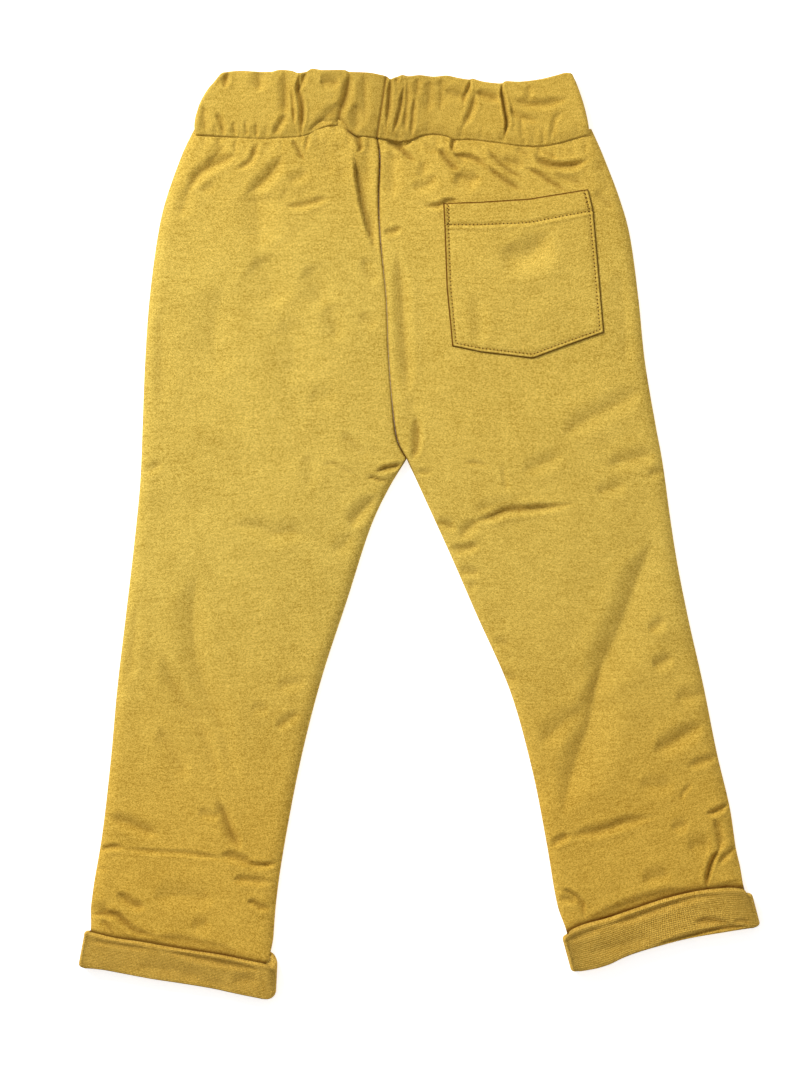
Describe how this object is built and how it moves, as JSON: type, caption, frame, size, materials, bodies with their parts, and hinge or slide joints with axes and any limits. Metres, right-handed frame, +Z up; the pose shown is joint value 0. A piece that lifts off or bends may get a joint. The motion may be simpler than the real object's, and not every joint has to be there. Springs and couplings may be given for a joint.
{
  "type": "kids joggers",
  "caption": "Kids' cotton joggers laid flat, back side up, with a gathered elastic waist, one patch pocket on the back and turned-up hems.",
  "frame": {"origin": "middle of the garment's outline, on the surface that it lies on", "axes": "+Y from the ankles to the waist, +Z up out of the back of the garment, +X to the wearer's right"},
  "size_m": [0.4077, 0.5553, 0.0107],
  "materials": {
    "knit_face": "matte",
    "knit_reverse": "matte"
  },
  "bodies": {
    "root": {"back_left_leg": "knit_face", "back_right_leg": "knit_face", "front_left_leg": "knit_face", "front_right_leg": "knit_face", "waistband": "knit_face", "back_pocket": "knit_face", "left_cuff": "knit_reverse", "right_cuff": "knit_reverse"}
  },
  "joints": []
}
